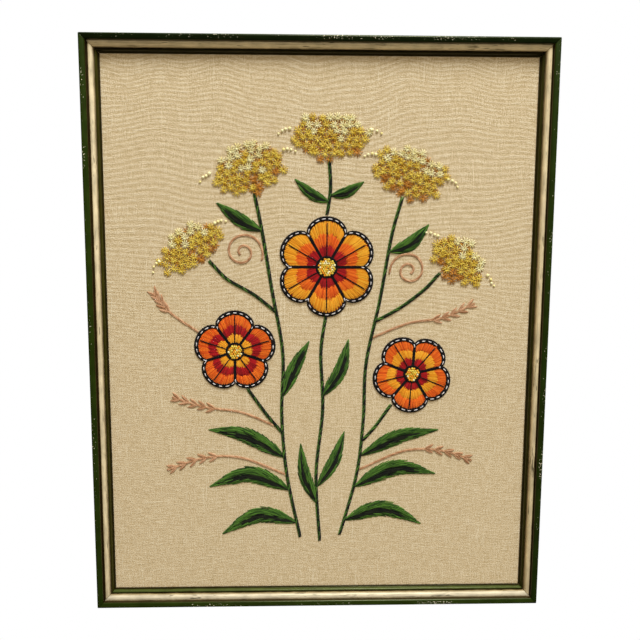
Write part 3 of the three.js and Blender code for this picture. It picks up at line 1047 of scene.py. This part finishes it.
@dataclass(kw_only=True)
class Sprig(Motif):
    """A sprig: stems in twisted rows of stem stitch, leaves in long and short stitch with a dark middle."""

    stems: Sequence[Sequence[Point]]
    leaves: Sequence[Leaf]
    leaf_rise: float = 1.6
    belly: float = 0.85  # under 1 a leaf is widest nearer its base
    stem_half: float = 1.475  # half width of a stem
    tuck: float = 6.5  # of a stem's tip under the flower above it
    stitch: float = 10.0  # length of a leaf's stitches
    core: float = 0.34  # half width of a leaf's dark middle, as a share of its own
    twist: tuple[Wool, ...] = (Wool.DARK_GREEN, Wool.GREEN, Wool.DARK_GREEN, Wool.DARK_GREEN, Wool.GREEN)

    def work(self) -> None:
        """Works the leaves first, then the stems over their bases."""
        for leaf in self.leaves:
            self.leaf(leaf)
        for points in self.stems:
            line = Line.smooth(points).longer(0.0, self.tuck)
            side = self.stem_half - STRAND
            self.stem_stitch([Wool.GREEN], line, side, 0.5)
            self.stem_stitch([Wool.DARK_GREEN], line, -side, 0.5)
            self.stem_stitch(self.twist, line, -0.1, 0.95, length=7.0, slant=0.85)

    def half_width(self, leaf: Leaf, share: np.ndarray | float) -> np.ndarray:
        """Returns a leaf's half width at shares of its length."""
        return leaf.half * np.sin(math.pi * np.clip(share, 0, 1) ** self.belly)

    def leaf(self, leaf: Leaf) -> None:
        """Works one leaf: dark padding, which also stands as painted shade between the stitches, then rows of
        long and short stitch that run from its base to its tip.

        Args:
            leaf: The leaf.
        """
        vein = Line.smooth([leaf.base, leaf.bend, leaf.tip])
        share = np.linspace(0.04, 0.96, 12)[:, None]
        across = np.array([-0.85, -0.45, 0.0, 0.45, 0.85])[None]
        wide = across * self.half_width(leaf, share)
        places = vein.at(share * vein.length) + vein.left_at(share * vein.length) * wide[..., None]
        swell = np.minimum(1, self.half_width(leaf, share) / 4)
        heights = SINK + swell * np.array([0.0, 0.9, 0.7, 0.9, 0.0])
        # Dark green padding: real stitching that also stands as painted shade in the gaps between the leaf's
        # stitches.
        self.loft(Wool.DARK_GREEN, np.dstack([places, heights]))
        count = round(2 * leaf.half / PITCH)
        for row, place in enumerate(np.linspace(-0.94, 0.94, count)):
            first = self.rng.uniform(-0.5, 0.1) * self.stitch
            for start in np.arange(first, vein.length, 0.55 * self.stitch):
                self.long_stitch(leaf, vein, start, place, row)

    def long_stitch(self, leaf: Leaf, vein: Line, start: float, place: float, row: int) -> None:
        """Lays one stitch of a leaf, unless its row is too crowded there.

        Args:
            leaf: The leaf.
            vein: The leaf's middle line.
            start: Distance along the vein where the stitch comes up.
            place: The row's share of the way from the vein to the edge, to the left where positive.
            row: Number of the row.
        """
        ends = np.clip([start, start + self.stitch * self.rng.uniform(0.85, 1.15)], 0.3, vein.length - 0.3)
        middle = float(ends.mean()) / vein.length
        room = float(self.half_width(leaf, middle)) / leaf.half
        if ends[1] - ends[0] < 3 or row % max(1, round(0.8 / max(room, 0.1))):
            return
        travel = ends[0] + (ends[1] - ends[0]) * STATIONS
        fan = place * (0.84 + 0.24 * STATIONS) + self.rng.normal(0, 0.03)
        wide = fan * self.half_width(leaf, travel / vein.length)
        spots = vein.at(travel) + vein.left_at(travel) * wide[:, None]
        # A leaf dips along its vein and falls to its edges.
        rise = np.interp(abs(place), [0, 0.34, 0.72, 1], [0.7, 1, 0.85, 0.25]) * self.leaf_rise
        crown = min(1.0, 0.35 + room) * (rise - STRAND) + self.rng.uniform(-0.2, 0.12)
        dark = abs(place - 0.2 * leaf.shaded + self.rng.normal(0, 0.06)) < self.core
        wool = Wool.DARK_GREEN if dark and middle < 0.78 + self.rng.normal(0, 0.05) else Wool.GREEN
        self.lay(wool, spots, crown - 0.5 * (1 - ARCH))


@dataclass(kw_only=True)
class GrassEar(Motif):
    """A tan ear of grass: a stalk in stem stitch and grains of three straight stitches."""

    points: Sequence[Point]  # of the stalk, from its root
    tuck: float  # of the stalk's root under the stem
    share: float = 0.42  # of the stalk that bears grains
    pairs: int = 5
    grain: float = 10.0  # length of a grain
    grain_half: float = 1.5  # half its width
    angle: float = 26.0  # degrees from the stalk

    def work(self) -> None:
        """Works the stalk, then its grains in pairs."""
        stalk = Line.smooth(self.points).longer(self.tuck, 0.0)
        for row in (-0.4, 0.4):
            self.stem_stitch([Wool.TAN], stalk, row, 0.5, length=4.0, radius=FINE)
        for pair in range(self.pairs):
            travel = stalk.length * (1 - self.share * (1 - pair / self.pairs))
            left = stalk.left_at(travel)
            ahead = np.array([left[1], -left[0]])
            for side in (-1, 1):
                lean = math.radians(side * self.angle + self.rng.normal(0, 3))
                way = ahead * math.cos(lean) + left * math.sin(lean)
                beside = np.array([-way[1], way[0]])
                for offset in (-1, 1, 0):
                    out = self.grain * self.rng.uniform(0.9, 1.05) * STATIONS
                    bow = offset * self.grain_half * 0.62 * np.sin(math.pi * STATIONS)
                    spots = stalk.at(travel) + out[:, None] * way + bow[:, None] * beside
                    crown = 0.5 if offset else 0.72
                    self.lay(Wool.TAN, spots, arched(crown), 0.85 * STRAND)


@dataclass(kw_only=True)
class Tendril(Motif):
    """A tan tendril in stem stitch, wound in from its root to its eye."""

    root: Point
    middle: Point
    winds: int  # 1 to the left and -1 to the right
    turns: float = 1.7
    eye: float = 3.2  # radius of its last turn
    pull: float = 1.3  # over 1 it winds in faster near its root
    tuck: float = 2.5  # of its root under the stem

    def work(self) -> None:
        """Works the one winding row."""
        share = np.linspace(0, 1, 120)
        away = np.subtract(self.root, self.middle)
        radius = self.eye + (np.linalg.norm(away) - self.eye) * (1 - share) ** self.pull
        angle = math.atan2(away[1], away[0]) + self.winds * share * self.turns * math.tau
        spiral = np.stack([radius * np.cos(angle), radius * np.sin(angle)], axis=-1) + self.middle
        line = Line(spiral).longer(self.tuck, 0.0)
        for row in (-0.4, 0.4):
            self.stem_stitch([Wool.TAN], line, row, 0.5, length=4.0, radius=FINE)


def posy() -> list[Motif]:
    """Lists the motifs of the needlework where the frame's solids have them.

    Returns:
        The motifs, in the order they are worked.
    """
    blossoms = [
        Blossom(node=node, x=x, z=z, radius=radius, petals=petals, turn=turn, zones=zones)
        for node, x, z, radius, petals, turn, zones in (
            ("blossom_centre", 6, 62, 47, 6, 30, (Wool.RED, Wool.ORANGE, Wool.AMBER)),
            ("blossom_left", -80, -18, 39, 5, 18, (Wool.AMBER, Wool.RED, Wool.ORANGE)),
            ("blossom_right", 88, -40, 38, 5, 50, (Wool.RED, Wool.AMBER, Wool.ORANGE)),
        )
    ]
    heads = [
        FlowerHead(node=node, x=x, z=z, long=long, short=short, turn=turn)
        for node, x, z, long, short, turn in (
            ("head_far_left", -120, 80, 31, 20, 35),
            ("head_left", -66, 152, 35, 23, 18),
            ("head_top", 8, 182, 36, 21, 0),
            ("head_right", 82, 148, 35, 23, -18),
            ("head_far_right", 130, 68, 30, 19, -38),
        )
    ]
    sprigs = [
        Sprig(
            node="sprig_left",
            stems=(
                ((-18, -203), (-31, -140), (-36, -80), (-35, -20), (-45, 40), (-54, 95), (-60, 125)),
                ((-35, -98), (-50, -80), (-65, -59)),
                ((-42, 20), (-62, 36), (-86, 50), (-99, 63)),
            ),
            leaves=(
                Leaf((-21, -188), (-58, -180), (-94, -199), 8, 1),
                Leaf((-28, -155), (-66, -139), (-106, -151), 8.5, 1),
                Leaf((-33, -122), (-70, -100), (-106, -94), 8, 1),
                Leaf((-35, -62), (-24, -34), (-10, -8), 6.5, -1),
                Leaf((-54, 95), (-74, 105), (-96, 121), 6.5, 1),
            ),
        ),
        Sprig(
            node="sprig_centre",
            stems=(((1, -207), (-3, -140), (3, -75), (1, -20), (5, 13)),),
            leaves=(
                Leaf((-1, -170), (-14, -140), (-18, -108), 6, 1),
                Leaf((-2, -152), (14, -126), (24, -96), 6, -1),
                Leaf((2, -62), (19, -38), (27, -6), 6.5, -1),
            ),
        ),
        Sprig(
            node="sprig_right",
            stems=(
                ((20, -201), (36, -140), (42, -85), (44, -30), (56, 30), (66, 90), (74, 121)),
                ((41, -106), (54, -91), (65, -75)),
                ((51, 10), (76, 24), (98, 41), (108, 52)),
            ),
            leaves=(
                Leaf((24, -186), (62, -174), (100, -190), 8, -1),
                Leaf((33, -152), (74, -133), (113, -139), 8.5, -1),
                Leaf((39, -121), (76, -102), (115, -95), 7.5, -1),
                Leaf((64, 76), (84, 84), (101, 102), 6.5, -1),
            ),
        ),
        Sprig(
            node="sprig_top",
            stems=(((6, 110), (9, 134), (8, 157)),),
            leaves=(
                Leaf((8, 122), (-8, 129), (-24, 143), 5, 1),
                Leaf((9, 128), (24, 131), (40, 141), 5, -1),
            ),
        ),
    ]
    ears = [
        GrassEar(node=node, points=points, tuck=tuck)
        for node, tuck, points in (
            ("ear_low_left", 6, ((-37, -137), (-75, -122), (-110, -122), (-146, -134))),
            ("ear_mid_left", 3, ((-46, -89), (-75, -77), (-108, -72), (-140, -62))),
            ("ear_high_left", 6, ((-119, 4), (-131, 12), (-143, 22), (-155, 38))),
            ("ear_low_right", 6, ((44, -132), (82, -116), (118, -116), (148, -126))),
            ("ear_high_right", 3, ((52, -4), (84, 9), (116, 14), (146, 28))),
        )
    ]
    tendrils = [
        Tendril(node="tendril_left", root=(-54, 70), middle=(-72, 76), winds=1),
        Tendril(node="tendril_right", root=(65, 58), middle=(83, 59), winds=-1),
    ]
    return [*blossoms, *heads, *sprigs, *ears, *tendrils]


def deselect_all() -> None:
    """Leaves nothing selected, so that an operator acts on the piece in hand alone."""
    if bpy.context.mode != "OBJECT":
        bpy.ops.object.mode_set(mode="OBJECT")
    bpy.ops.object.select_all(action="DESELECT")


@dataclass
class Moulding:
    """The four mitred rails, their arrises eased and their beads smooth."""

    rebate_wall: float = 13.0 * MM  # in from the outer edge
    rebate_depth: float = 11.2 * MM  # from the wall
    weld: float = 0.02 * MM
    flat_below: float = 0.5  # degrees between triangles of one face
    arris: float = 0.22 * MM  # width of the eased edges
    smooth_below: float = 38.0  # degrees

    def paint(self) -> PaintedMoulding:
        """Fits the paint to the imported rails.

        Returns:
            The paint.
        """
        left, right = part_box("rail_left"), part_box("rail_right")
        top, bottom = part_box("rail_top"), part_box("rail_bottom")
        return PaintedMoulding(
            half_width=(right[1][0] - left[0][0]) / 2,
            top=top[1][2],
            bottom=bottom[0][2],
            front=left[0][1],
            rail_width=left[1][0] - left[0][0],
            rebate_wall=self.rebate_wall,
            rebate_front=-self.rebate_depth,
        )

    def build(self, nodes: Mapping[str, bpy.types.Object]) -> list[bpy.types.Object]:
        """Makes a welded, eased copy of each rail.

        Args:
            nodes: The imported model's objects by name.

        Returns:
            The rails' pieces.
        """
        paint = self.paint()
        made = []
        for rail in Rail:
            node = rail.value.node
            piece = bpy.data.objects.new(f"moulding_{node}", nodes[node].data.copy())
            bpy.context.collection.objects.link(piece)
            self.ease(piece)
            piece.data.materials.clear()
            piece.data.materials.append(paint.material(rail))
            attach(piece, ROOT)
            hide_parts(node)
            made.append(piece)
        return made

    def ease(self, piece: bpy.types.Object) -> None:
        """Welds a rail's triangles into faces, rounds its arrises and smooths its beads.

        Args:
            piece: The rail.
        """
        deselect_all()
        piece.select_set(True)
        bpy.context.view_layer.objects.active = piece
        bpy.ops.object.mode_set(mode="EDIT")
        bpy.ops.mesh.select_all(action="SELECT")
        bpy.ops.mesh.remove_doubles(threshold=self.weld)
        bpy.ops.mesh.dissolve_limited(angle_limit=math.radians(self.flat_below))
        bpy.ops.object.mode_set(mode="OBJECT")
        bevel = piece.modifiers.new("eased_arris", "BEVEL")
        bevel.width = self.arris
        bevel.segments = 2
        bevel.limit_method = "ANGLE"
        bevel.angle_limit = math.radians(self.smooth_below)
        bpy.ops.object.modifier_apply(modifier=bevel.name)
        bpy.ops.object.shade_smooth_by_angle(angle=math.radians(self.smooth_below))


@dataclass
class LinenSheet:
    """The stretched linen: one slightly slack sheet, its weave wandering where it was drawn tight."""

    columns: int = 96
    rows: int = 120
    thickness: float = 1.2 * MM
    slack: float = 0.16  # mm, how far it stands off its flat plane
    wander: float = 2.4  # mm, how far the weave strays between the tacks at the top edge
    tacks: float = 56.0  # mm between the tacks that draw the weave into waves
    fade: float = 75.0  # mm over which the waves die away
    tacked_up: float = 250.0  # mm from the middle to the upper and lower rows of tacks
    tacked_out: float = 200.0  # mm from the middle to the side rows
    drift: float = 0.8  # mm, how far the weave strays all over

    def build(self, plane: PicturePlane) -> bpy.types.Object:
        """Makes the sheet in its rebate.

        Args:
            plane: Where the linen's face lies.

        Returns:
            The sheet.
        """
        low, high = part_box("linen")
        width, height = high[0] - low[0], high[2] - low[2]
        deselect_all()
        bpy.ops.mesh.primitive_grid_add(
            x_subdivisions=self.columns,
            y_subdivisions=self.rows,
            size=1,
            rotation=(math.pi / 2, 0, 0),
            location=(plane.middle_x, plane.front_y, plane.middle_z),
        )
        sheet = bpy.context.object
        sheet.name = sheet.data.name = "linen_sheet"
        sheet.scale = (width, height, 1)
        bpy.ops.object.transform_apply(location=True, rotation=True, scale=True)
        self.stretch(sheet.data, plane)
        solid = sheet.modifiers.new("cloth", "SOLIDIFY")
        solid.thickness = self.thickness
        solid.offset = -1
        bpy.ops.object.modifier_apply(modifier=solid.name)
        sheet.data.shade_smooth()
        sheet.data.materials.append(SlubLinen().material())
        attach(sheet, ROOT)
        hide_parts("linen")
        return sheet

    def stretch(self, mesh: bpy.types.Mesh, plane: PicturePlane) -> None:
        """Gives the sheet its slackness and draws the weave on it.

        Args:
            mesh: The flat sheet.
            plane: Where the linen's face lies.
        """
        places = np.empty(len(mesh.vertices) * 3)
        mesh.vertices.foreach_get("co", places)
        places = places.reshape(-1, 3)
        x, z = (places[:, 0] - plane.middle_x) / MM, (places[:, 2] - plane.middle_z) / MM
        # Broad and narrow swells, between -1.6 and 1.6 together.
        hump = np.sin(x / 61 + 1.3) * np.sin(z / 83 + 0.4) + 0.6 * np.sin(x / 29 - z / 47)
        places[:, 1] += self.slack * MM * hump / 1.6
        mesh.vertices.foreach_set("co", places.ravel())
        tack = math.tau / self.tacks
        weft = z + self.wander * np.exp((z - self.tacked_up) / self.fade) * np.cos(tack * x + 0.8)
        weft += 0.5 * self.wander * np.exp((-z - self.tacked_up) / self.fade) * np.cos(tack * x)
        warp = x + 0.5 * self.wander * np.exp((np.abs(x) - self.tacked_out) / self.fade) * np.cos(tack * z)
        weft += self.drift * np.sin(x / 47 + z / 90)
        warp += self.drift * np.sin(z / 61 - x / 80)
        weave = np.stack([warp, weft], axis=-1)
        corners = np.empty(len(mesh.loops), dtype=np.int32)
        mesh.loops.foreach_get("vertex_index", corners)
        layer = mesh.uv_layers.active
        layer.name = "weave"
        layer.uv.foreach_set("vector", weave[corners].astype(np.float32).ravel())
        mesh.update()


@dataclass
class Studio:
    """A pale floor under the hanging picture, soft light from above right and the photograph's camera."""

    camera_at: Triple = (-0.032, -0.884, -0.1085)
    pitch: float = 9.3  # degrees down
    yaw: float = 2.1  # degrees to the right
    roll: float = 0.32  # degrees
    lens: float = 52.95  # mm
    sensor: float = 36.0  # mm, its width
    floor_drop: float = 0.3  # below the picture's lower edge
    floor_size: float = 8.0
    floor_colour: str = "#a09d98"
    surround: float = 0.5  # light from all round
    surround_colour: str = "#ffecca"
    gloss_level: float = 0.04  # brightness of the dim room that the paint mirrors
    lamp_at: Triple = (0.75, -1.85, 3.4)
    lamp_aim: Triple = (0.0, 0.0, -0.26)
    lamp_size: float = 1.45
    lamp_power: float = 242.0  # watts
    lamp_colour: str = "#f2f8ff"

    def build(self, bottom: float) -> None:
        """Sets the floor, the light and the camera, and shows colours as they are.

        Args:
            bottom: z of the picture's lower edge.
        """
        self.floor(bottom - self.floor_drop)
        self.world()
        self.lamp()
        self.camera()
        view = bpy.context.scene.view_settings
        view.view_transform = "Standard"
        view.look = "None"

    def staged(self, tree: Tree, lit: Socket) -> Socket:
        """Shows a shader as plain white behind the picture and as a dim room in the paint's gloss.

        Args:
            tree: The node tree.
            lit: The shader that lights the picture.

        Returns:
            The mixed shader.
        """
        path = add_node(tree, "LightPath").node.outputs
        dim = add_node(tree, "Emission", {"Color": linear("#ffffff"), "Strength": self.gloss_level})
        white = add_node(tree, "Emission", {"Color": linear("#ffffff"), "Strength": 1.0})
        room = add_node(tree, "MixShader", (path["Is Glossy Ray"], lit, dim))
        return add_node(tree, "MixShader", (path["Is Camera Ray"], room, white))

    def floor(self, level: float) -> None:
        """Lays the floor.

        Args:
            level: z of the floor.
        """
        deselect_all()
        bpy.ops.mesh.primitive_plane_add(size=self.floor_size, location=(0, 0, level))
        floor = bpy.context.object
        floor.name = "floor"
        material, tree, shader = new_material("pale_floor")
        fill(shader, {"Base Color": linear(self.floor_colour), "Roughness": 0.9})
        fill(tree.nodes["Material Output"], {"Surface": self.staged(tree, shader.outputs[0])})
        floor.data.materials.append(material)
        floor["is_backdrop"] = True

    def world(self) -> None:
        """Sets the even light from all round."""
        world = bpy.data.worlds.new("studio")
        world.use_nodes = True
        tree = world.node_tree
        around = tree.nodes["Background"]
        fill(around, {"Color": linear(self.surround_colour), "Strength": self.surround})
        fill(tree.nodes["World Output"], {"Surface": self.staged(tree, around.outputs[0])})
        bpy.context.scene.world = world

    def lamp(self) -> None:
        """Hangs the soft lamp above the picture, a little to its right."""
        deselect_all()
        bpy.ops.object.light_add(type="AREA", location=self.lamp_at)
        lamp = bpy.context.object
        lamp.name = "key"
        lamp.data.size = self.lamp_size
        lamp.data.energy = self.lamp_power
        lamp.data.color = linear(self.lamp_colour)[:3]
        away = Vector(self.lamp_at) - Vector(self.lamp_aim)
        lamp.rotation_euler = away.to_track_quat("Z", "Y").to_euler()

    def camera(self) -> None:
        """Sets the camera where the photograph was taken from."""
        deselect_all()
        bpy.ops.object.camera_add(location=self.camera_at)
        camera = bpy.context.object
        turn = Matrix.Rotation(math.radians(-self.yaw), 3, "Z")
        tip = Matrix.Rotation(math.radians(90 - self.pitch), 3, "X")
        level = Matrix.Rotation(math.radians(self.roll), 3, "Z")
        camera.rotation_euler = (turn @ tip @ level).to_euler()
        camera.data.lens = self.lens
        camera.data.sensor_width = self.sensor
        bpy.context.scene.camera = camera


def main() -> None:
    """Builds the picture's pieces in order and the studio round them."""
    logging.basicConfig(level=logging.INFO, format="%(name)s %(message)s")
    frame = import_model()
    solid_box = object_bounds()
    plane = PicturePlane.on_linen()
    Studio().build(solid_box[0][2])
    pieces = [*Moulding().build(frame["nodes"]), LinenSheet().build(plane)]
    wools = {wool: wool.value.material() for wool in Wool}
    for motif in posy():
        pieces += motif.build(plane, wools)
    for piece in pieces:
        LOG.info("%s: %d faces", piece.name, len(piece.data.polygons))


if __name__ == "__main__":
    main()
